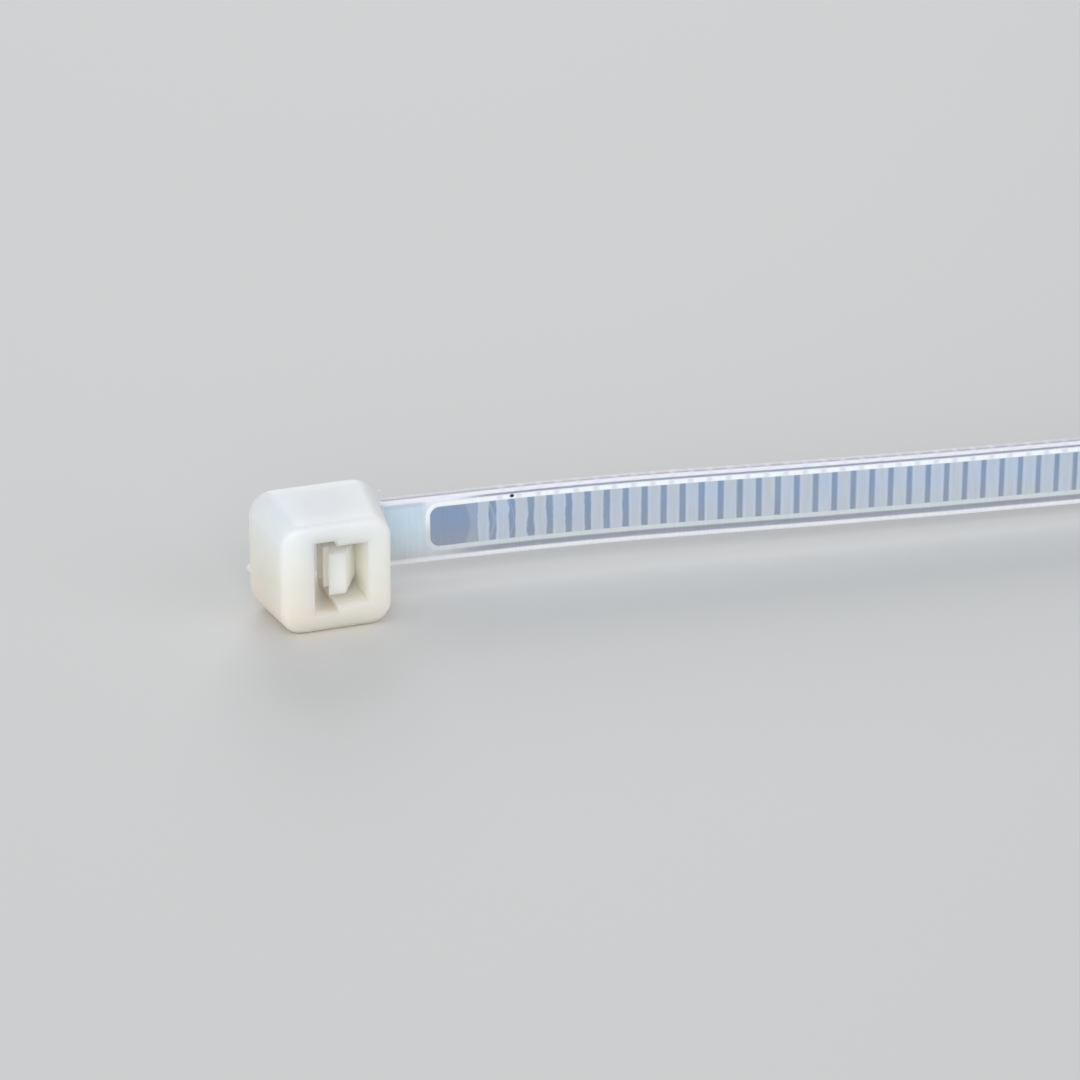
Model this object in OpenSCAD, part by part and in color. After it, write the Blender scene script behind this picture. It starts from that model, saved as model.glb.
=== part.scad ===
// Self-locking nylon cable tie, moulded in one piece and standing on its edge.
// It is drawn in the tie's own frame and then stood on the drafted side of its head:
// x runs from the head to the tail, y = 0 is the entry face of the head and the toothed
// face of the strap, -y is the exit side, and z runs across the strap.

/* [Strap] */
// Overall length from the end of the head to the tip
total_l = 200; // [160:5:300]
// Width of the strap
strap_w = 4.8; // [4.6:0.1:5.6]
// Thickness of the strap over its rails
strap_t = 1.25; // [1.1:0.05:1.5]
// Radius of the strap's long edges
edge_r = 0.15; // [0.05:0.05:0.25]
// Width of the channel floor that carries the teeth
channel_w = 3; // [2.6:0.1:3.2]
// Depth of the channel below the rails
channel_d = 0.5; // [0.35:0.05:0.6]
// Width of the bevel between the channel floor and a rail
bevel_w = 0.5; // [0.3:0.05:0.6]
// Start of the channel, from the end face of the head
channel_start = 3.5; // [3:0.1:5]
// Corner radius of the channel floor where the channel starts
channel_r = 0.85; // [0.4:0.05:1.2]
// Radius of the fillet where the strap leaves the head
neck_r = 0.5; // [0.2:0.1:0.8]

/* [Teeth] */
// Distance from tooth to tooth
pitch = 1.4; // [1.2:0.05:1.6]
// Length of one tooth along the strap
tooth_l = 0.94; // [0.8:0.02:1.05]
// Height of a tooth above the channel floor
tooth_h = 0.45; // [0.3:0.05:0.5]
// Flat crest of a tooth
crest_l = 0.12; // [0.05:0.01:0.2]
// Lean of the locking face of a tooth, in degrees
lock_lean = 8; // [0:1:15]
// Plain channel floor before the first tooth
plain_l = 3.5; // [2:0.1:4]

/* [Head] */
// Length of the head along the strap, at its base
head_l = 9.1; // [8.6:0.1:10.5]
// Width of the head across the strap, at its base
head_w = 8.7; // [8.4:0.1:10]
// Depth of the head from entry face to exit face
head_d = 6.6; // [6.4:0.1:7.4]
// Depth of the undrafted base, up to the parting line
base_d = 1.4; // [1:0.1:1.6]
// Draft of the two side faces, in degrees
side_draft = 3.2; // [1:0.1:4]
// Draft of the two end faces, in degrees
end_draft = 6.4; // [2:0.1:7]
// Corner radius of the base
base_r = 1.8; // [1:0.1:2.1]
// Corner radius of the drafted block at the parting line
block_r = 1.8; // [1.4:0.1:2.1]
// Corner radius of the drafted block at the exit face
front_r = 1.6; // [1.2:0.1:1.8]
// Rounding round the entry face
entry_rim = 0.8; // [0.3:0.1:0.9]
// Rounding round the exit face
exit_rim = 0.5; // [0.2:0.1:0.8]
// Radius of the gate mark on the end face
gate_r = 0.32; // [0.25:0.01:0.5]
// Height of the gate mark above the end face
gate_h = 0.2; // [0.1:0.05:0.25]
// Place of the gate mark across the head
gate_z = -1.3; // [-2:0.1:2]

/* [Slot and pawl] */
// Room between the strap's edges and the slot, on each side
slot_side = 0.25; // [0.1:0.05:0.4]
// Room between the strap's thickness and the slot
slot_play = 0.35; // [0.2:0.05:0.5]
// Thickness of the wall that the strap bears on, at the exit face
bearing_wall = 2.42; // [2:0.02:2.8]
// Width of the funnel at the entry, beside the slot
funnel_w = 0.68; // [0.4:0.02:0.9]
// Width of the locking pawl
pawl_w = 3; // [2.4:0.1:3.2]
// Gap between the pawl and the pocket on each side
pawl_side = 0.75; // [0.5:0.05:0.8]
// Length of the pocket behind the slot
pocket_l = 2.23; // [1.8:0.01:2.6]
// Free gap between the bearing wall and the pawl's teeth
pawl_gap = 1.08; // [0.9:0.02:1.3]
// Depth of the pawl's tip below the exit face
tip_d = 0.4; // [0.2:0.05:0.8]
// Thickness of the pawl's tip, over its tooth
tip_t = 1.18; // [0.9:0.02:1.4]
// Depth at which the pawl's back meets the pocket wall
wedge_d = 3.3; // [3:0.1:3.8]
// Depth of the pocket floor beside the pawl
pocket_d = 5; // [4.6:0.1:5.2]
// Chamfer round the mouth of the pocket
mouth = 0.18; // [0.05:0.01:0.25]

/* [Tail] */
// Length of the plain tail after the last tooth
tail_l = 26; // [22:1:40]
// Length of the taper at the tip
taper_l = 18; // [12:1:20]
// Width of the rounded tip
tip_w = 2.6; // [2:0.1:3.2]
// Height of the grip ribs above the tail
rib_h = 0.2; // [0.1:0.05:0.3]
// Length of a grip rib across the tail
rib_w = 2; // [1.4:0.1:2]
// Number of grip ribs
rib_count = 7; // [4:1:8]

/* [Stance] */
// Angle between the strap and the head where it leaves, in degrees
neck_turn = 2.4; // [0:0.1:4]
// Lean of the strap's edge toward the exit side, in degrees
strap_lean = 1.6; // [0:0.1:3]

/* [Hidden] */

nylon = [0.88, 0.89, 0.86];
round_fn = 48;
edge_fn = 24;
sweep_fn = 1440;
pawl_teeth = 3;
rib_pitch = 2;
rib_r = 0.4;
// How far joined pieces run into each other, and cutters past what they cut
overlap = 0.05;
reach = 1;
// Thickness of the slices that a hull is spanned between
slice = 0.01;
// How far the far strap starts inside the near one, and how much slimmer it is
lap = 0.04;
hair = 0.004;

// The head at its exit face
block_d = head_d - base_d;
front_l = head_l - 2 * block_d * tan(end_draft);
front_w = head_w - 2 * block_d * tan(side_draft);

// The slot and the pocket, as places along x
slot_w = strap_w + 2 * slot_side;
slot_t = strap_t + slot_play;
wall_x = bearing_wall - front_l / 2;
slot_x = wall_x + slot_t;
crest_x = wall_x + pawl_gap;
back_x = crest_x + tip_t;
pocket_x = slot_x + pocket_l;
pocket_w = pawl_w + 2 * pawl_side;
funnel_x = slot_x + funnel_w;
comb_d = tip_d + (pawl_teeth - 1) * pitch + crest_l;
ramp_x = crest_x + (funnel_x - crest_x) * (pocket_d - comb_d) / (head_d - comb_d);

// Place along y of a depth below the exit face
function below_exit(d) = d - head_d;

// The strap leaves the head where the rounding of the entry face begins, and then
// follows a chain of straights and bends: [length, radius], 0 for a straight and
// a negative radius for a bend toward the exit side
strap_x = head_l / 2 - entry_rim;
strap_l = total_l - head_l / 2 - strap_x;
channel_s = channel_start + entry_rim;
neck_l = channel_s + bevel_w + plain_l;
near_radius = 163;
near_l = 16;
mid_radius = 600;
mid_l = 75;
far_s = neck_l + near_l + mid_l;
chain = [[neck_l, 0], [near_l, -near_radius], [mid_l, mid_radius], [strap_l - far_s, 0]];

teeth_s = neck_l;
teeth_count = floor((strap_l - tail_l - teeth_s) / pitch);
channel_end = teeth_s + teeth_count * pitch;
taper_s = strap_l - taper_l;

// Stance: the drafted side of the head lies on the floor, and the strap
// slopes down so that its lower edge meets the floor where the taper starts
rest_y = -(base_d + head_d - exit_rim) / 2;
rest_z = -head_w / 2 + (-rest_y - base_d) * tan(side_draft);
lift = -(rest_y * sin(side_draft) + rest_z * cos(side_draft));
shift = -(rest_y * cos(side_draft) - rest_z * sin(side_draft));
touch = at(taper_s);
slope = asin(((lift + (touch[1] - strap_t) * sin(strap_lean)) / cos(strap_lean) - strap_w / 2) / touch[0]);

// Place and heading [x, y, angle] after going along a straight or a bend
function onward(p, run) =
    run[1] == 0
    ? [p[0] + run[0] * cos(p[2]), p[1] + run[0] * sin(p[2]), p[2]]
    : let (a = p[2] + run[0] / run[1] * 180 / PI)
      [p[0] + run[1] * (sin(a) - sin(p[2])), p[1] - run[1] * (cos(a) - cos(p[2])), a];
function joint(i) = i == 0 ? [strap_x, 0, -neck_turn] : onward(joint(i - 1), chain[i - 1]);
function begin(i) = i == 0 ? 0 : begin(i - 1) + chain[i - 1][0];
function at(s, i = 0) =
    i == len(chain) - 1 || s < begin(i + 1)
    ? onward(joint(i), [s - begin(i), chain[i][1]])
    : at(s, i + 1);
// Point at distance s along the strap and u behind its toothed face
function beside(s, u) = let (p = at(s)) [p[0] - u * sin(p[2]), p[1] + u * cos(p[2])];

// Puts children in the frame at distance s along the strap, x pointing to the tail
module along(s) {
    p = at(s);
    translate([p[0], p[1], 0]) rotate([0, 0, p[2]]) children();
}

// Sweeps a profile round a bend of radius r whose centre lies toward +y, from
// distance s0 to s1 past the start of the bend
module bend(r, s0, s1) {
    degrees = 180 / PI / r;
    translate([0, r, 0]) rotate([0, 0, s0 * degrees - 90])
        rotate_extrude(angle = (s1 - s0) * degrees, $fn = sweep_fn) translate([r, 0]) children();
}

// Section of the strap with rounded long edges, drawn as (u, z) with u = 0 on the
// toothed side and drawn in on all sides by inset
module strap_section(inset = 0) {
    t = strap_t - 2 * inset;
    w = strap_w - 2 * inset;
    translate([-strap_t + inset, edge_r - w / 2]) square([t, w - 2 * edge_r]);
    translate([-strap_t + inset + edge_r, -w / 2]) square([t - 2 * edge_r, w]);
    for (u = [-strap_t + inset + edge_r, -inset - edge_r], z = [edge_r - w / 2, w / 2 - edge_r])
        translate([u, z]) circle(r = edge_r, $fn = edge_fn);
}

// Section of the channel between the two rails, wider and deeper by inset
module channel_section(inset = 0) {
    half = channel_w / 2 + inset;
    floor_u = -channel_d - inset;
    polygon([[reach, half + bevel_w], [-inset, half + bevel_w], [floor_u, half],
             [floor_u, -half], [-inset, -half - bevel_w], [reach, -half - bevel_w]]);
}

// Rounded and bevelled start of the channel, in the straight neck
module channel_cap() {
    near = channel_s + bevel_w + channel_r;
    top_r = channel_r + bevel_w;
    hull() {
        for (side = [-1, 1]) {
            translate([near, -channel_d, side * (channel_w / 2 - channel_r)])
                rotate([-90, 0, 0]) cylinder(r = channel_r, h = channel_d / 2, $fn = round_fn);
            translate([near, 0, side * (channel_w / 2 - channel_r)])
                rotate([-90, 0, 0]) cylinder(r = top_r, h = reach, $fn = round_fn);
        }
        translate([neck_l, -channel_d, -channel_w / 2]) cube([overlap, overlap, channel_w]);
        translate([neck_l, 0, -channel_w / 2 - bevel_w])
            cube([overlap, reach, channel_w + 2 * bevel_w]);
    }
}

// Straight neck and the bend after it, toward the exit side
module near_strap() {
    along(0) {
        difference() {
            rotate([90, 0, 90]) linear_extrude(height = neck_l) strap_section();
            channel_cap();
        }
        translate([neck_l, 0, 0]) mirror([0, 1, 0]) bend(near_radius, 0, near_l)
            difference() {
                strap_section();
                channel_section();
            }
    }
}

// Bend back toward the toothed side and the straight after it; they are a hair
// slimmer, and start inside the bend before them
module far_strap() {
    along(far_s) {
        difference() {
            rotate([90, 0, 90]) linear_extrude(height = strap_l - far_s) strap_section(hair);
            translate([-reach, 0, 0]) rotate([90, 0, 90])
                linear_extrude(height = channel_end - far_s + reach) channel_section(hair);
        }
        mirror([1, 0, 0]) bend(mid_radius, 0, mid_l + lap) mirror([1, 0])
            difference() {
                strap_section(hair);
                channel_section(hair);
            }
    }
}

// Saw teeth, out to the middle of the bevels: the locking faces look toward the head
module teeth() {
    root = -channel_d - overlap;
    crest = tooth_h - channel_d;
    rise = (crest - root) * tan(lock_lean);
    inside = -(channel_d + strap_t) / 2;
    saw = [for (i = [0 : teeth_count - 1]) let (s = teeth_s + i * pitch) each [
        beside(s, root), beside(s + rise, crest),
        beside(s + rise + crest_l, crest), beside(s + tooth_l, root)
    ]];
    spine = [for (i = [teeth_count : -1 : 0]) beside(teeth_s + i * pitch, inside)];
    linear_extrude(height = channel_w + bevel_w, center = true) polygon(concat(saw, spine));
}

// Everything outside the tapered outline of the tail and its round tip
module tail_waste() {
    tip_x = taper_l - tip_w / 2;
    along(taper_s) translate([0, reach, 0]) rotate([90, 0, 0])
        linear_extrude(height = strap_t + 2 * reach)
            difference() {
                translate([0, -strap_w]) square([taper_l + reach, 2 * strap_w]);
                polygon([[-reach, strap_w / 2], [0, strap_w / 2], [tip_x, tip_w / 2],
                         [tip_x, -tip_w / 2], [0, -strap_w / 2], [-reach, -strap_w / 2]]);
                translate([tip_x, 0]) circle(r = tip_w / 2, $fn = round_fn);
            }
}

// Low grip ribs on the toothed side, near the tip
module ribs() {
    for (i = [0 : rib_count - 1])
        along(strap_l - tip_w / 2 - i * rib_pitch) translate([0, rib_h - rib_r, 0])
            cylinder(r = rib_r, h = rib_w, center = true, $fn = edge_fn);
}

module strap() {
    near_strap();
    difference() {
        far_strap();
        tail_waste();
    }
    teeth();
    ribs();
}

// Small fillets where the strap's edges meet the end face of the head
module neck_fillets() {
    for (side = [0, 1]) mirror([0, 0, side])
        difference() {
            translate([head_l / 2 - overlap, -base_d + overlap, strap_w / 2 - 2 * overlap])
                cube([neck_r + overlap, base_d - 2 * overlap, neck_r + 2 * overlap]);
            translate([head_l / 2 + neck_r, -base_d, strap_w / 2 + neck_r])
                rotate([-90, 0, 0]) cylinder(r = neck_r, h = 2 * base_d, $fn = round_fn);
        }
}

// Disc of thickness h whose rim is rounded at z = 0
module rim_disc(r, rim, h) {
    steps = 6;
    arc = [for (i = [0 : steps]) let (a = 90 * i / steps) [r - rim + rim * sin(a), rim - rim * cos(a)]];
    rotate_extrude($fn = round_fn) polygon(concat([[0, 0]], arc, [[r, h], [0, h]]));
}

// Puts a child at each of the four corners of an outline l by w with corner radius r
module corners(l, w, r) {
    for (x = [r - l / 2, l / 2 - r], z = [r - w / 2, w / 2 - r]) translate([x, 0, z]) children();
}

// Outer form of the head: a base below the parting line and a drafted block above it
module head_block() {
    hull() corners(head_l, head_w, base_r) rotate([90, 0, 0]) rim_disc(base_r, entry_rim, base_d);
    hull() {
        corners(head_l, head_w, block_r)
            translate([0, -base_d, 0]) rotate([90, 0, 0]) cylinder(r = block_r, h = slice, $fn = round_fn);
        corners(front_l, front_w, front_r)
            translate([0, -head_d, 0]) rotate([-90, 0, 0]) rim_disc(front_r, exit_rim, 2 * exit_rim);
    }
}

// Box that widens toward the exit face, to break the edge of an opening there
module mouth_cut(x0, x1, w) {
    hull() {
        translate([x0, -head_d + mouth, -w / 2]) cube([x1 - x0, slice, w]);
        translate([x0 - mouth, -head_d - mouth, -w / 2 - mouth])
            cube([x1 - x0 + 2 * mouth, mouth, w + 2 * mouth]);
    }
}

// The strap's slot, with its funnel at the entry, and the pocket behind it
module head_openings() {
    linear_extrude(height = slot_w, center = true)
        polygon([[wall_x, -head_d - reach], [slot_x, -head_d - reach], [slot_x, below_exit(pocket_d)],
                 [ramp_x, below_exit(pocket_d)], [funnel_x, 0], [funnel_x, reach],
                 [wall_x - mouth, reach], [wall_x - mouth, 0], [wall_x, -2 * mouth]]);
    translate([slot_x - overlap, -head_d - reach, -pocket_w / 2])
        cube([pocket_x - slot_x + overlap, pocket_d + reach, pocket_w]);
    mouth_cut(wall_x, slot_x, slot_w);
    mouth_cut(slot_x, pocket_x, pocket_w);
}

// The locking pawl: teeth toward the slot, a sloping back, and its root in the
// pocket's floor and far wall
module pawl() {
    valley_x = crest_x + tooth_h;
    root_y = below_exit(pocket_d);
    comb = [for (i = [0 : pawl_teeth - 1]) let (y = below_exit(tip_d + i * pitch)) each
        i == 0 ? [[crest_x, y], [crest_x, y + crest_l]]
               : [[valley_x, y], [crest_x, y], [crest_x, y + crest_l]]];
    linear_extrude(height = pawl_w, center = true)
        polygon(concat(
            [[back_x, below_exit(tip_d)]], comb,
            [[ramp_x, root_y], [ramp_x, root_y + overlap], [pocket_x + overlap, root_y + overlap],
             [pocket_x + overlap, below_exit(wedge_d)]]));
}

// Low dome left by the gate on the end face of the base
module gate_mark() {
    translate([gate_r - gate_h - head_l / 2, -base_d / 2, gate_z]) sphere(r = gate_r, $fn = edge_fn);
}

module head() {
    difference() {
        head_block();
        head_openings();
    }
    pawl();
    gate_mark();
}

module cable_tie() {
    color(nylon) {
        translate([0, shift, lift]) {
            rotate([side_draft, 0, 0]) {
                head();
                neck_fillets();
            }
            rotate([strap_lean, 0, 0]) rotate([0, slope, 0]) strap();
        }
    }
}

cable_tie();
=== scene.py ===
# Natural nylon cable tie, standing on its edge on a pale floor.
import math
import bpy
from mathutils import Euler, Matrix, Vector


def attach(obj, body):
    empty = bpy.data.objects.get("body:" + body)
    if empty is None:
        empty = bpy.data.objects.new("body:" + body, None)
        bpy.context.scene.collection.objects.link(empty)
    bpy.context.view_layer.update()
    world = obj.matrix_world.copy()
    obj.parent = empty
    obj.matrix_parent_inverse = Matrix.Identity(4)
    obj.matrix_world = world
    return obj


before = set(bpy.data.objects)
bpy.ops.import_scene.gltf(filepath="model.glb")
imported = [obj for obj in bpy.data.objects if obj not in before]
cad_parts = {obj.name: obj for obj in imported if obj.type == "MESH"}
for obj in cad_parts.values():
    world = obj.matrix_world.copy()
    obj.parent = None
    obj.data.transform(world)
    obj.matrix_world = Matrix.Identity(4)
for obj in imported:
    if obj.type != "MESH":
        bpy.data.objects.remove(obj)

mm = 0.001
scene = bpy.context.scene
scene.view_settings.view_transform = "Standard"
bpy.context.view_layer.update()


def clearStage():
    for obj in [o for o in bpy.data.objects if o.type in {"CAMERA", "LIGHT"}]:
        bpy.data.objects.remove(obj, do_unlink=True)


clearStage()

# The camera of the picture: a long lens, a little above the floor and left of the head.
# Angles in degrees, the lens in mm on a 36 mm sensor
shot = {
    "place": Vector((-72.3, -249.9, 112.1)) * mm,
    "lookDown": 22.32,
    "turn": 19.42,
    "roll": 0.52,
    "lens": 135.87,
    "sensor": 36,
    "nearest": 10 * mm,
}


def makeCamera():
    lens = bpy.data.cameras.new("shotCamera")
    lens.lens = shot["lens"]
    lens.sensor_width = shot["sensor"]
    lens.clip_start = shot["nearest"]
    camera = bpy.data.objects.new("shotCamera", lens)
    scene.collection.objects.link(camera)
    pitch, heading = math.radians(90 - shot["lookDown"]), math.radians(-shot["turn"])
    aim = Euler((pitch, 0, heading)).to_matrix()
    aim = aim @ Matrix.Rotation(math.radians(-shot["roll"]), 3, "Z")
    camera.matrix_world = Matrix.Translation(shot["place"]) @ aim.to_4x4()
    scene.camera = camera


makeCamera()
print("camera set")


# Small helpers for wiring materials
def newMaterial(name):
    material = bpy.data.materials.new(name)
    material.use_nodes = True
    tree = material.node_tree
    tree.nodes.clear()
    shader = addNode(tree, "ShaderNodeBsdfPrincipled")
    output = addNode(tree, "ShaderNodeOutputMaterial")
    tree.links.new(shader.outputs[0], output.inputs["Surface"])
    return material, tree, shader


def addNode(tree, kind, **settings):
    node = tree.nodes.new(kind)
    for key, value in settings.items():
        setattr(node, key, value)
    return node


def feed(tree, socket, source):
    if isinstance(source, bpy.types.NodeSocket):
        tree.links.new(source, socket)
    else:
        socket.default_value = source


def maths(tree, operation, a, b=0.0):
    node = addNode(tree, "ShaderNodeMath", operation=operation)
    feed(tree, node.inputs[0], a)
    feed(tree, node.inputs[1], b)
    return node.outputs[0]


def add(tree, a, b):
    return maths(tree, "ADD", a, b)


def subtract(tree, a, b):
    return maths(tree, "SUBTRACT", a, b)


def multiply(tree, *values):
    result = values[0]
    for value in values[1:]:
        result = maths(tree, "MULTIPLY", result, value)
    return result


def larger(tree, a, b):
    return maths(tree, "MAXIMUM", a, b)


# Length of the diagonal of a by b
def diagonal(tree, a, b):
    return maths(tree, "SQRT", add(tree, multiply(tree, a, a), multiply(tree, b, b)))


# Carries a value from one pair of ends to another, and stops at the ends
def carry(tree, value, ends, newEnds=(0.0, 1.0), how="LINEAR"):
    node = addNode(tree, "ShaderNodeMapRange", interpolation_type=how)
    feed(tree, node.inputs["Value"], value)
    node.inputs["From Min"].default_value, node.inputs["From Max"].default_value = ends
    node.inputs["To Min"].default_value, node.inputs["To Max"].default_value = newEnds
    return node.outputs["Result"]


# Rises softly from 0 at low to 1 at high, or falls where low is the larger
def fade(tree, value, low, high):
    return carry(tree, value, (low, high), how="SMOOTHSTEP")


# 1 within reach of the centre, 0 further out
def band(tree, value, centre, reach, soft):
    distance = maths(tree, "ABSOLUTE", subtract(tree, value, centre))
    return fade(tree, distance, reach + soft, reach - soft)


def pick(tree, factor, a, b):
    node = addNode(tree, "ShaderNodeMix", data_type="FLOAT")
    for socket, value in zip((node.inputs[0], node.inputs[2], node.inputs[3]), (factor, a, b)):
        feed(tree, socket, value)
    return node.outputs[0]


def blend(tree, factor, a, b, how="MIX"):
    node = addNode(tree, "ShaderNodeMix", data_type="RGBA", blend_type=how)
    for socket, value in zip((node.inputs[0], node.inputs[6], node.inputs[7]), (factor, a, b)):
        feed(tree, socket, value)
    return node.outputs[2]


# Noise from about -0.5 to 0.5
def noise(tree, place, scale, detail=2.0):
    node = addNode(tree, "ShaderNodeTexNoise")
    tree.links.new(place, node.inputs["Vector"])
    node.inputs["Scale"].default_value = scale
    node.inputs["Detail"].default_value = detail
    return subtract(tree, node.outputs["Fac"], 0.5)


# A chance tone from 0 to 1, the same for all values that round down alike
def ownTone(tree, value):
    node = addNode(tree, "ShaderNodeTexWhiteNoise", noise_dimensions="1D")
    feed(tree, node.inputs["W"], maths(tree, "FLOOR", value))
    return node.outputs["Value"]


def join(tree, x, y, z):
    node = addNode(tree, "ShaderNodeCombineXYZ")
    for socket, value in zip(node.inputs, (x, y, z)):
        feed(tree, socket, value)
    return node.outputs[0]


def split(tree, place):
    node = addNode(tree, "ShaderNodeSeparateXYZ")
    tree.links.new(place, node.inputs[0])
    return node.outputs


# A screen colour of 0 to 255, as a shader colour
def shade(red, green, blue):
    levels = [level / 255 for level in (red, green, blue)]
    linear = [v / 12.92 if v < 0.04045 else ((v + 0.055) / 1.055) ** 2.4 for v in levels]
    return (*linear, 1.0)


# Colour by a value: stops are (value, colour), with the values rising
def ramp(tree, value, stops):
    low, high = stops[0][0], stops[-1][0]
    node = addNode(tree, "ShaderNodeValToRGB")
    tree.links.new(carry(tree, value, (low, high)), node.inputs["Fac"])
    points = node.color_ramp.elements
    while len(points) < len(stops):
        points.new(1.0)
    for point, (at, colour) in zip(points, stops):
        point.position = (at - low) / (high - low)
        point.color = colour
    return node.outputs["Color"]


# The floor, in metres
floorLook = {"size": 10.0, "colour": shade(216, 217, 217), "roughness": 0.6}


def makeFloor():
    half = floorLook["size"] / 2
    mesh = bpy.data.meshes.new("floor")
    corners = [(-half, -half, 0), (half, -half, 0), (half, half, 0), (-half, half, 0)]
    mesh.from_pydata(corners, [], [(0, 1, 2, 3)])
    floor = bpy.data.objects.new("floor", mesh)
    scene.collection.objects.link(floor)
    material, tree, shader = newMaterial("floorCard")
    shader.inputs["Base Color"].default_value = floorLook["colour"]
    shader.inputs["Roughness"].default_value = floorLook["roughness"]
    mesh.materials.append(material)


makeFloor()
print("floor laid")


# Soft studio lights: places and sizes in metres, power in watts
lamps = {
    "key": {"place": (-0.55, -1.65, 0.75), "size": 1.25, "power": 15.0},
    "fill": {"place": (1.05, -1.45, 0.65), "size": 1.50, "power": 6.9},
    "side": {"place": (-1.50, -0.38, 0.75), "size": 1.50, "power": 6.3},
    "back": {"place": (0.50, 1.60, 0.75), "size": 1.00, "power": 6.9},
}
lampTarget = Vector((0.02, 0, 0))
worldLook = {"colour": (0.97, 0.985, 1.0, 1), "strength": 0.48}


def makeLights():
    for name, lamp in lamps.items():
        data = bpy.data.lights.new(name, "AREA")
        data.size = lamp["size"]
        data.energy = lamp["power"]
        obj = bpy.data.objects.new(name, data)
        scene.collection.objects.link(obj)
        obj.location = lamp["place"]
        aim = lampTarget - obj.location
        obj.rotation_euler = aim.to_track_quat("-Z", "Y").to_euler()
    world = bpy.data.worlds.new("studio")
    world.use_nodes = True
    sky = world.node_tree.nodes["Background"]
    sky.inputs["Color"].default_value = worldLook["colour"]
    sky.inputs["Strength"].default_value = worldLook["strength"]
    scene.world = world


makeLights()
print("lights set")


# Sizes of the moulding, in mm and degrees, to find a place along and across the strap
tie = {
    "headLength": 9.1,
    "headWidth": 8.7,
    "headDepth": 6.6,
    "baseDepth": 1.4,
    "entryRim": 0.8,
    "exitRim": 0.5,
    "sideDraft": 3.2,
    "strapWidth": 4.8,
    "strapThick": 1.25,
    "strapLean": 1.6,
    "neckTurn": 2.4,
    "length": 200,
    "taper": 18,
    "floorStart": 4.87,      # the channel's floor, along the strap
    "floorHalf": 1.5,
    "floorCorner": 0.7,
    "teethStart": 8.3,
    "teethEnd": 165.1,
    "pitch": 1.4,
}
# The strap's run from the head, in mm: length and radius, 0 for a straight
strapRun = [(8.3, 0), (16, -163), (75, 600), (92.4, 0)]


def walkRun():
    x, y = tie["headLength"] / 2 - tie["entryRim"], 0.0
    heading = -math.radians(tie["neckTurn"])
    start = 0.0
    stretches = []
    for length, radius in strapRun:
        stretches.append({"x": x, "y": y, "heading": heading, "start": start, "radius": radius})
        if radius == 0:
            x += length * math.cos(heading)
            y += length * math.sin(heading)
        else:
            turned = heading + length / radius
            x += radius * (math.sin(turned) - math.sin(heading))
            y -= radius * (math.cos(turned) - math.cos(heading))
            heading = turned
        start += length
    return stretches


# How the tie stands: the lift and shift of its own frame in mm, and the strap's slope
def findStance(stretches):
    draft, lean = math.radians(tie["sideDraft"]), math.radians(tie["strapLean"])
    restY = -(tie["baseDepth"] + tie["headDepth"] - tie["exitRim"]) / 2
    restZ = -tie["headWidth"] / 2 + (-restY - tie["baseDepth"]) * math.tan(draft)
    lift = -(restY * math.sin(draft) + restZ * math.cos(draft))
    shift = -(restY * math.cos(draft) - restZ * math.sin(draft))
    last = stretches[-1]
    strapLength = tie["length"] - tie["headLength"] / 2 - stretches[0]["x"]
    run = strapLength - tie["taper"] - last["start"]
    touchX = last["x"] + run * math.cos(last["heading"])
    touchY = last["y"] + run * math.sin(last["heading"])
    height = (lift + (touchY - tie["strapThick"]) * math.sin(lean)) / math.cos(lean)
    return lift, shift, math.asin((height - tie["strapWidth"] / 2) / touchX)


# Undoes the stance: a place in mm in the tie's own frame, x to the tail, z across the strap
def unstand(tree, place, stretches):
    lift, shift, slope = findStance(stretches)
    upright = addNode(tree, "ShaderNodeMapping", vector_type="TEXTURE")
    tree.links.new(place, upright.inputs["Vector"])
    upright.inputs["Location"].default_value = (0, shift * mm, lift * mm)
    upright.inputs["Rotation"].default_value = (math.radians(tie["strapLean"]), 0, 0)
    upright.inputs["Scale"].default_value = (mm, mm, mm)
    level = addNode(tree, "ShaderNodeMapping", vector_type="TEXTURE")
    tree.links.new(upright.outputs[0], level.inputs["Vector"])
    level.inputs["Rotation"].default_value = (0, slope, 0)
    return split(tree, level.outputs[0])


# The strap's own frame in mm: the distance along it, the depth behind its toothed face
# (0 to -1.25) and the place across it
def strapPlace(tree, place):
    stretches = walkRun()
    x, y, across = unstand(tree, place, stretches)
    along, depth = None, None
    for part in stretches:
        sine, cosine = math.sin(part["heading"]), math.cos(part["heading"])
        radius = part["radius"]
        if radius == 0:
            right, ahead = subtract(tree, y, part["y"]), subtract(tree, x, part["x"])
            run = add(tree, multiply(tree, ahead, cosine), multiply(tree, right, sine))
            behind = subtract(tree, multiply(tree, right, cosine), multiply(tree, ahead, sine))
        else:
            fromX = subtract(tree, x, part["x"] - radius * sine)
            fromY = subtract(tree, y, part["y"] + radius * cosine)
            angle = maths(tree, "ARCTAN2", multiply(tree, fromX, 1 / radius),
                          multiply(tree, fromY, -1 / radius))
            run = multiply(tree, subtract(tree, angle, part["heading"]), radius)
            away = multiply(tree, diagonal(tree, fromX, fromY), math.copysign(1, radius))
            behind = subtract(tree, radius, away)
        run = add(tree, run, part["start"])
        if along is None:
            along, depth = run, behind
        else:
            beyond = maths(tree, "GREATER_THAN", x, part["x"])
            along, depth = pick(tree, beyond, along, run), pick(tree, beyond, depth, behind)
    return along, depth, across


# On the smooth back the rack shows through the strap, moved by slip along it and by rise
# across it, in mm. The back fades in as the normal's y goes through facing
through = {"facing": (-0.3, -0.7), "slip": -0.19, "rise": 0.27, "slant": 0.015}


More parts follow.
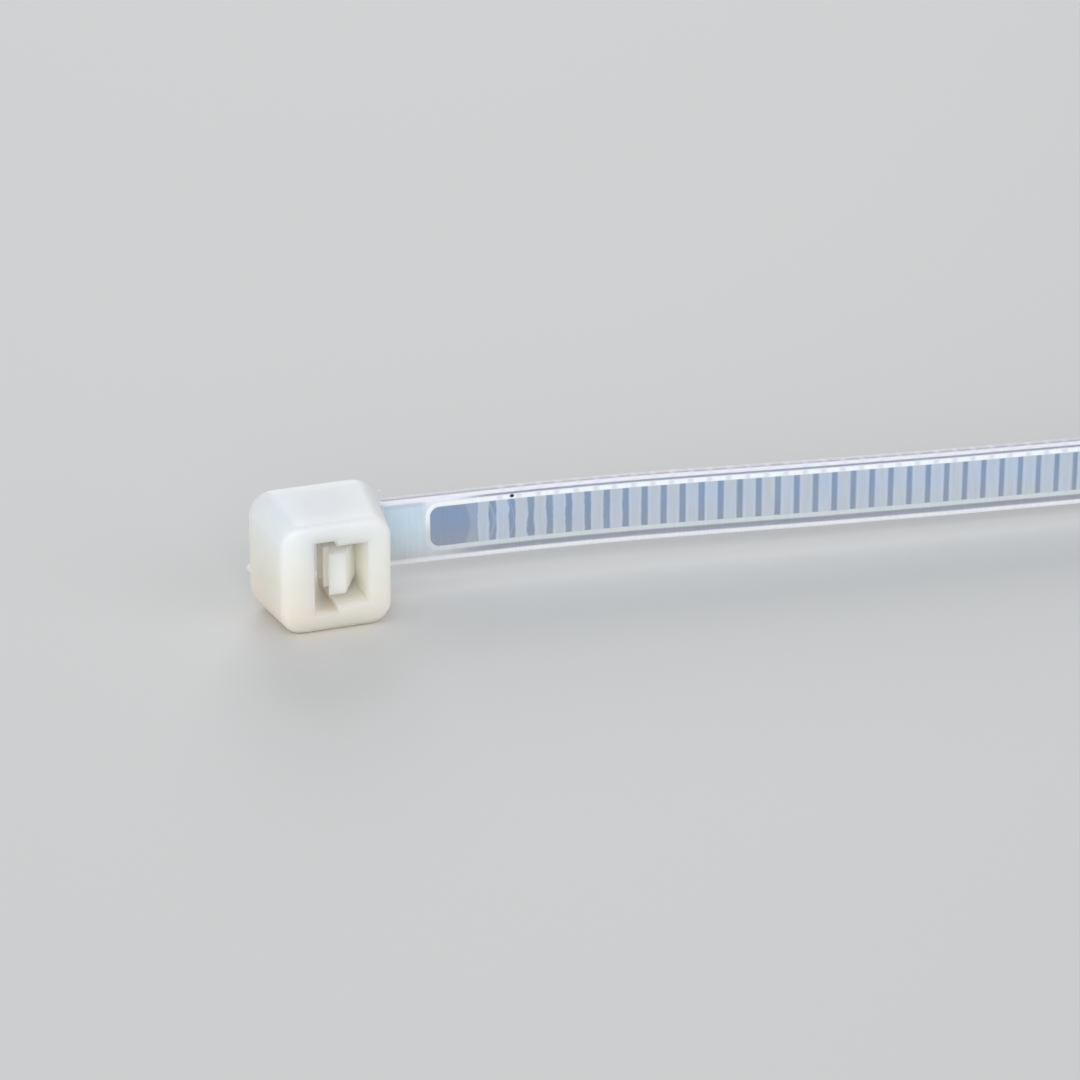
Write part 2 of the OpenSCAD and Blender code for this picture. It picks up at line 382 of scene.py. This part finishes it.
def seeThrough(tree, along, across, normalY):
    back = fade(tree, normalY, *through["facing"])
    along = subtract(tree, along, multiply(tree, back, through["slip"]))
    across = subtract(tree, across, multiply(tree, back, through["rise"]))
    along = add(tree, along, multiply(tree, across, back, through["slant"]))
    return back, along, across


# The gaps between the teeth, where the strap is thin. Gap sizes are in pitches, places in
# mm. Both counts grow by 1 a pitch: a tooth starts at a whole toothCount, and the middle of
# a gap is half past a whole gapCount
bars = {
    "gapCentre": 0.835,
    "gapHalf": (0.18, 0.13),             # near the head and at the end of the reach
    "gapReach": (8, 54),
    "gapSoft": 0.05,
    "unsteadyReach": (26, 8),            # the first teeth are only half filled
    "unsteadyGrain": 0.9,
    "unsteady": 0.5,
    "sway": 0.6,
    "swell": 0.2,
    "floorSoft": 0.06,
    # Painted highlights: light streaks in the channel's floor and in the first gaps
    "bow": 0.2,                          # light streaks bow across the strap
    "floorHighlight": (7.65, 7.95, 0.35),   # from, to and strength
    "gapHighlights": [(9.55, 0.07, 0.4), (11.0, 0.05, 0.3)],  # place, half width, strength
    "streakSoft": 0.09,
}


def findBars(tree, flat, along, across):
    unsteady = fade(tree, along, *bars["unsteadyReach"])
    grain = noise(tree, flat, bars["unsteadyGrain"])
    wobble = multiply(tree, grain, unsteady, bars["unsteady"])
    toothCount = maths(tree, "DIVIDE", subtract(tree, along, tie["teethStart"]), tie["pitch"])
    gapCount = subtract(tree, toothCount, bars["gapCentre"] - 0.5)
    gapCount = add(tree, gapCount, multiply(tree, wobble, bars["sway"]))
    offCentre = maths(tree, "ABSOLUTE", subtract(tree, maths(tree, "FRACT", gapCount), 0.5))
    half = carry(tree, along, bars["gapReach"], bars["gapHalf"])
    half = add(tree, half, multiply(tree, wobble, bars["swell"]))
    gap = fade(tree, subtract(tree, half, offCentre), -bars["gapSoft"], bars["gapSoft"])
    start, soft = tie["teethStart"], bars["floorSoft"]
    plain = fade(tree, along, start + soft, start - soft)
    gap = larger(tree, gap, plain)

    # The painted highlight streaks lighten the floor and the first gaps
    bowed = add(tree, along, multiply(tree, across, across, bars["bow"]))
    low, high, strength = bars["floorHighlight"]
    highlightStreak = multiply(tree, fade(tree, bowed, low, high), strength, plain)
    for place, reach, strength in bars["gapHighlights"]:
        line = band(tree, bowed, place, reach, bars["streakSoft"])
        highlightStreak = larger(tree, highlightStreak, multiply(tree, line, strength))
    gap = multiply(tree, gap, subtract(tree, 1.0, highlightStreak))
    return gap, toothCount, gapCount, offCentre


# Colours of teeth and gaps, painted see-through light and shade: the thin gaps are painted dark,
# as if dark showed through the nylon, and the thick teeth light. Each has its own tone, cooler
# above and warmer below
rack = {
    "thin": shade(136, 159, 190),
    "thinLow": shade(147, 158, 176),
    "thinGreen": shade(143, 160, 177),
    "thick": shade(182, 197, 214),
    "thickWarm": shade(189, 197, 205),
    "glintBlue": shade(186, 203, 226),
    "lowFrom": (0.8, -1.3),
    "mottleGrain": 1.1,
    "mottle": 1.6,
    "besideGap": (0.26, 0.05, 0.06),     # place, half width and softness, in pitches
    "beside": 0.5,
    "green": 0.7,
}


def paintRack(tree, flat, across, gap, toothCount, gapCount, offCentre):
    low = fade(tree, across, *rack["lowFrom"])
    mottle = noise(tree, flat, rack["mottleGrain"])
    warmth = larger(tree, ownTone(tree, toothCount), low)
    warmth = add(tree, warmth, multiply(tree, mottle, rack["mottle"]))
    tooth = blend(tree, warmth, rack["thick"], rack["thickWarm"])
    # Painted glint: a light bluish strip on each tooth beside a gap
    beside = multiply(tree, band(tree, offCentre, *rack["besideGap"]), rack["beside"])
    tooth = blend(tree, beside, tooth, rack["glintBlue"])
    # Painted shade: the thin gaps are painted dark blue-grey
    thin = blend(tree, low, rack["thin"], rack["thinLow"])
    green = add(tree, multiply(tree, ownTone(tree, gapCount), rack["green"]), mottle)
    thin = blend(tree, green, thin, rack["thinGreen"])
    return blend(tree, gap, tooth, thin)


# How far a place is outside the channel's floor, a long strip with round corners
def outsideFloor(tree, along, across):
    corner = tie["floorCorner"]
    before = subtract(tree, tie["floorStart"] + corner, along)
    endwise = larger(tree, before, subtract(tree, along, tie["teethEnd"] - corner))
    sideways = subtract(tree, maths(tree, "ABSOLUTE", across), tie["floorHalf"] - corner)
    away = diagonal(tree, larger(tree, endwise, 0.0), larger(tree, sideways, 0.0))
    return subtract(tree, away, corner)


# Rails and neck, with painted highlights along the edges, the channel's bright outline (a painted
# highlight of its bevel) and the dark line above it, and painted light on the neck beside the
# head. Lists of stops go across the strap from its lower edge, in mm; so do the places, where
# nothing else is said
rails = {
    # The lightest stops, at the lower edge and near the upper edge, are painted highlights
    "rail": [
        (-2.40, shade(236, 238, 243)),
        (-2.32, shade(228, 231, 237)),
        (-2.22, shade(160, 166, 176)),
        (-1.93, shade(152, 159, 170)),
        (-1.79, shade(192, 197, 206)),
        (1.60, shade(220, 226, 236)),
        (2.20, shade(228, 232, 242)),
        (2.40, shade(214, 218, 229)),
    ],
    # The light line at the lower edge is a painted highlight
    "neck": [
        (-2.40, shade(226, 228, 232)),
        (-2.30, shade(216, 218, 222)),
        (-2.15, shade(192, 196, 201)),
        (-1.20, shade(198, 210, 216)),
        (0.30, shade(200, 217, 228)),
        (1.55, shade(198, 216, 229)),
        (1.86, shade(180, 197, 213)),
        (2.06, shade(209, 221, 233)),
        (2.40, shade(214, 221, 230)),
    ],
    "neckEnd": (4.1, 4.9),               # along, from neck to rail
    "lowNeckEnd": (5.0, 9.5),
    "lowFrom": (-1.5, -1.8),
    "litBesideHead": shade(214, 217, 226),
    "headFade": (1.9, 0.2),              # along
    "headFadeAcross": (-1.5, 1.2),
    "headFadeLow": 0.4,
    "outlineTop": shade(236, 243, 252),
    "outlineLow": shade(204, 211, 214),
    "outlineInner": (-0.03, 0.06),       # outside the floor, where the outline starts and ends
    "outlineOuter": (0.38, 0.27),
    "upper": (-0.6, 0.9),
    "line": shade(138, 148, 166),
    "linePlace": (0.49, 0.10, 0.05),     # outside the floor: place, half width and softness
    "lineStart": (6.2, 9.5),             # along
    "floorSoft": (0.02, -0.04),
}
# Painted shade: the outline and the top edge are painted dimmer behind the teeth; place, half
# width and softness in pitches
dims = {
    "colour": shade(206, 212, 225),
    "place": (0.41, 0.14, 0.12),
    "fadeIn": 1.0,
    "onOutline": 0.7,
    "onTopEdge": 0.5,
}


def findDims(tree, along, gapCount):
    start, end, fadeIn = tie["teethStart"], tie["teethEnd"], dims["fadeIn"]
    onTeeth = multiply(tree, fade(tree, along, start, start + fadeIn),
                       fade(tree, along, end, end - fadeIn))
    fromGap = maths(tree, "FRACT", add(tree, gapCount, 0.5))
    return multiply(tree, band(tree, fromGap, *dims["place"]), onTeeth)


def paintRails(tree, along, across, outside, dim, channel):
    upper = fade(tree, across, *rails["upper"])
    onRails = pick(tree, fade(tree, across, *rails["lowFrom"]),
                   fade(tree, along, *rails["neckEnd"]), fade(tree, along, *rails["lowNeckEnd"]))
    colour = blend(tree, onRails, ramp(tree, across, rails["neck"]),
                   ramp(tree, across, rails["rail"]))
    # Painted light: the neck next to the head is painted lighter against the head's shadow, less
    # so low down
    strength = pick(tree, fade(tree, across, *rails["headFadeAcross"]), rails["headFadeLow"], 1.0)
    nearHeadLight = multiply(tree, fade(tree, along, *rails["headFade"]), strength)
    colour = blend(tree, nearHeadLight, colour, rails["litBesideHead"])

    # Painted highlight: the channel's bevel as a bright outline, less bright low down
    outline = blend(tree, upper, rails["outlineLow"], rails["outlineTop"])
    dimmed = multiply(tree, dim, upper, dims["onOutline"])
    outline = blend(tree, dimmed, outline, dims["colour"])
    edge = multiply(tree, fade(tree, outside, *rails["outlineInner"]),
                    fade(tree, outside, *rails["outlineOuter"]))
    colour = blend(tree, edge, colour, outline)
    line = multiply(tree, band(tree, outside, *rails["linePlace"]), upper,
                    fade(tree, along, *rails["lineStart"]))
    colour = blend(tree, line, colour, rails["line"])
    return blend(tree, fade(tree, outside, *rails["floorSoft"]), colour, channel)


# The strap's narrow edges, by depth in mm, with the mould's parting line
edges = {
    "top": [
        (-1.25, shade(224, 230, 241)),
        (-0.80, shade(214, 219, 231)),
        (-0.68, shade(156, 160, 175)),
        (-0.54, shade(156, 160, 175)),
        (-0.44, shade(188, 191, 204)),
        (0.00, shade(178, 182, 194)),
    ],
    "from": (2.28, 2.36),                # across
    "seam": shade(176, 180, 192),
    "seamPlace": (-0.61, 0.07, 0.06),    # place, half width and softness
    "seamStrength": 0.8,
    "end": (173, 166),                   # along: the plain tail has neither
}


def paintEdges(tree, along, depth, across, dim, colour):
    low, high = edges["from"]
    notTail = fade(tree, along, *edges["end"])
    # Painted shade: the top edge is dimmer behind the teeth
    top = blend(tree, multiply(tree, dim, dims["onTopEdge"]), ramp(tree, depth, edges["top"]),
                dims["colour"])
    colour = blend(tree, multiply(tree, fade(tree, across, low, high), notTail), colour, top)
    seam = multiply(tree, band(tree, depth, *edges["seamPlace"]),
                    fade(tree, across, -low, -high), notTail, edges["seamStrength"])
    return blend(tree, seam, colour, edges["seam"])


# A black speck on the upper rail
speck = {
    "along": 10.88,
    "across": 1.73,
    "flat": 0.6,
    "soft": (0.024, 0.009),
    "colour": shade(34, 34, 48),
}


def paintSpeck(tree, back, along, across, colour):
    right = subtract(tree, along, speck["along"])
    up = subtract(tree, across, speck["across"])
    squares = add(tree, multiply(tree, right, right, speck["flat"]), multiply(tree, up, up))
    inside = multiply(tree, fade(tree, squares, *speck["soft"]), back)
    return blend(tree, inside, colour, speck["colour"])


# Fine streaks across the strap, from noise that is pressed together along it. The relief of
# the gaps ends where the channel's floor does
streakLook = {"along": 7.0, "across": 0.5, "detail": 3.0}
reliefEnd = (0.05, -0.1)


# Painted see-through light and shade: the strap is painted dark where it is thin, as if dark
# showed through, so the rack shows as light and dark bars, and the channel's bevel is painted as
# a bright outline, a painted highlight
def paintStrap(tree, place, normalY):
    trueAlong, depth, trueAcross = strapPlace(tree, place)
    back, along, across = seeThrough(tree, trueAlong, trueAcross, normalY)
    flat = join(tree, along, across, 0.0)
    gap, toothCount, gapCount, offCentre = findBars(tree, flat, along, across)
    channel = paintRack(tree, flat, across, gap, toothCount, gapCount, offCentre)
    outside = outsideFloor(tree, along, across)
    dim = findDims(tree, along, gapCount)
    colour = paintRails(tree, along, across, outside, dim, channel)
    colour = paintEdges(tree, along, depth, trueAcross, dim, colour)
    colour = paintSpeck(tree, back, along, across, colour)
    pressed = join(tree, multiply(tree, along, streakLook["along"]),
                   multiply(tree, across, streakLook["across"]), depth)
    streaks = noise(tree, pressed, 1.0, streakLook["detail"])
    return colour, multiply(tree, gap, fade(tree, outside, *reliefEnd)), streaks


# The head is thick and milky: cool where it is high, creamy low down. Places in mm
headLook = {
    "height": [
        (0.3, shade(250, 226, 202)),
        (1.8, shade(238, 223, 211)),
        (3.6, shade(230, 227, 216)),
        (6.0, shade(234, 236, 227)),
        (8.4, shade(229, 232, 235)),
    ],
    "cloudGrain": 0.35,
    "cloud": 2.0,
    "cool": shade(222, 231, 240),
    "coolHeight": (5.2, 9.2),
    "coolAlong": (3.0, -3.5),
    "shoulder": shade(222, 222, 231),
    "shoulderAlong": (3.5, 4.4),
    "shoulderHeight": (2.5, 5.5),
    "shoulderStrength": 0.7,
    "strapFrom": (4.45, 5.2),
}
# Painted light: the slot and the pocket are painted near white, warmer deep down, to lift the
# shade inside them. Places in mm: middle, half size and softness, or the two ends of a fade
pocketLightLook = {
    "colour": shade(254, 251, 241),
    "along": (0.35, 2.0, 0.15),
    "height": (4.4, 2.6, 0.3),
    "exit": (-3.05, -2.3),
    "entry": (3.6, 2.4),
    "deepLight": shade(254, 242, 223),
    "deepHeight": (3.6, 1.6),
    "deepAlong": (0.6, -1.0),
}


def paintHead(tree, place):
    inMm = addNode(tree, "ShaderNodeVectorMath", operation="SCALE")
    tree.links.new(place, inMm.inputs[0])
    inMm.inputs["Scale"].default_value = 1 / mm
    x, y, z = split(tree, inMm.outputs[0])
    grain = noise(tree, inMm.outputs[0], headLook["cloudGrain"])
    clouded = add(tree, z, multiply(tree, grain, headLook["cloud"]))
    colour = ramp(tree, clouded, headLook["height"])
    cool = multiply(tree, fade(tree, clouded, *headLook["coolHeight"]),
                    fade(tree, x, *headLook["coolAlong"]))
    colour = blend(tree, cool, colour, headLook["cool"])
    shoulder = multiply(tree, fade(tree, x, *headLook["shoulderAlong"]),
                        fade(tree, z, *headLook["shoulderHeight"]), headLook["shoulderStrength"])
    colour = blend(tree, shoulder, colour, headLook["shoulder"])

    # Painted light inside the slot and the pocket, warmer deep down
    inside = multiply(tree, band(tree, x, *pocketLightLook["along"]),
                      band(tree, z, *pocketLightLook["height"]),
                      fade(tree, y, *pocketLightLook["exit"]), fade(tree, y, *pocketLightLook["entry"]))
    colour = blend(tree, inside, colour, pocketLightLook["colour"])
    deepLight = multiply(tree, inside, fade(tree, z, *pocketLightLook["deepHeight"]),
                    fade(tree, x, *pocketLightLook["deepAlong"]))
    colour = blend(tree, deepLight, colour, pocketLightLook["deepLight"])
    return colour, fade(tree, x, *headLook["strapFrom"]), inside


# The light goes far into the thick head, and less far into the pocket's walls and the strap
nylonLook = {
    "ior": 1.53,
    "glow": 1.0,
    "glowRadius": (1.2, 1.0, 0.85),
    "glowHead": 5 * mm,
    "glowPocket": 1.2 * mm,
    "glowStrap": 1.6 * mm,
    "streaks": 0.16,
    "cloud": 0.06,
    "cloudGrain": 500,
    "roughness": 0.42,
    "uneven": 0.16,
    "unevenGrain": 900,
    "detail": 3.0,
    "softEdge": 0.08 * mm,
    "softSamples": 4,
    "grain": 1600,
    "relief": 0.5,
    "bump": 0.25,
    "bumpDepth": 0.02 * mm,
}


def makeNylon():
    look = nylonLook
    material, tree, shader = newMaterial("naturalNylon")
    coordinates = addNode(tree, "ShaderNodeTexCoord")
    place = coordinates.outputs["Object"]
    facing = split(tree, coordinates.outputs["Normal"])

    strapColour, gap, streaks = paintStrap(tree, place, facing["Y"])
    headColour, onStrap, inside = paintHead(tree, place)
    cloud = noise(tree, place, look["cloudGrain"], look["detail"])
    tone = add(tree, multiply(tree, streaks, onStrap, look["streaks"]),
               multiply(tree, cloud, look["cloud"]))
    tone = add(tree, tone, 1.0)
    colour = blend(tree, onStrap, headColour, strapColour)
    colour = blend(tree, 1.0, colour, join(tree, tone, tone, tone), "MULTIPLY")
    tree.links.new(colour, shader.inputs["Base Color"])

    shader.inputs["IOR"].default_value = look["ior"]
    shader.inputs["Subsurface Weight"].default_value = look["glow"]
    shader.inputs["Subsurface Radius"].default_value = look["glowRadius"]
    reach = pick(tree, inside, look["glowHead"], look["glowPocket"])
    reach = pick(tree, onStrap, reach, look["glowStrap"])
    tree.links.new(reach, shader.inputs["Subsurface Scale"])
    uneven = noise(tree, place, look["unevenGrain"], look["detail"])
    roughness = add(tree, multiply(tree, uneven, look["uneven"]), look["roughness"])
    tree.links.new(roughness, shader.inputs["Roughness"])

    soft = addNode(tree, "ShaderNodeBevel", samples=look["softSamples"])
    soft.inputs["Radius"].default_value = look["softEdge"]
    height = add(tree, noise(tree, place, look["grain"]),
                 multiply(tree, gap, onStrap, look["relief"]))
    bump = addNode(tree, "ShaderNodeBump")
    bump.inputs["Strength"].default_value = look["bump"]
    bump.inputs["Distance"].default_value = look["bumpDepth"]
    tree.links.new(height, bump.inputs["Height"])
    tree.links.new(soft.outputs["Normal"], bump.inputs["Normal"])
    tree.links.new(bump.outputs["Normal"], shader.inputs["Normal"])
    return material


def dressTie():
    nylon = makeNylon()
    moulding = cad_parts["cable_tie"]
    moulding.data.materials.clear()
    moulding.data.materials.append(nylon)
    return nylon


nylon = dressTie()
print("tie dressed")


# A hair of flash on the corner of the head's base, beside the neck, in mm
flash = {
    "root": (4.26, 1.87, 7.66),
    "tip": (4.88, 1.80, 8.03),
    "thin": 0.03,
    "thick": 0.12,
    "bow": 0.05,
    "flat": 0.7,
    "rings": 8,
    "sides": 10,
}


def makeFlash():
    root, tip = Vector(flash["root"]), Vector(flash["tip"])
    run = tip - root
    side = run.cross(Vector((0, 0, 1))).normalized()
    up = side.cross(run).normalized()
    rings, sides = flash["rings"], flash["sides"]
    points = []
    for ring in range(rings):
        way = ring / (rings - 1)
        centre = root + run * way + up * flash["bow"] * math.sin(math.pi * way)
        swell = math.sin(math.pi * way * way)
        radius = flash["thin"] + (flash["thick"] - flash["thin"]) * swell
        for step in range(sides):
            angle = 2 * math.pi * step / sides
            spoke = side * math.cos(angle) + up * flash["flat"] * math.sin(angle)
            points.append((centre + spoke * radius) * mm)
    faces = [tuple(reversed(range(sides))), tuple(range((rings - 1) * sides, rings * sides))]
    for ring in range(rings - 1):
        for step in range(sides):
            after = (step + 1) % sides
            low, high = ring * sides, (ring + 1) * sides
            faces.append((low + step, low + after, high + after, high + step))
    mesh = bpy.data.meshes.new("flash")
    mesh.from_pydata(points, [], faces)
    mesh.shade_smooth()
    mesh.materials.append(nylon)
    piece = bpy.data.objects.new("flash", mesh)
    scene.collection.objects.link(piece)
    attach(piece, "root")


makeFlash()
print("flash made")
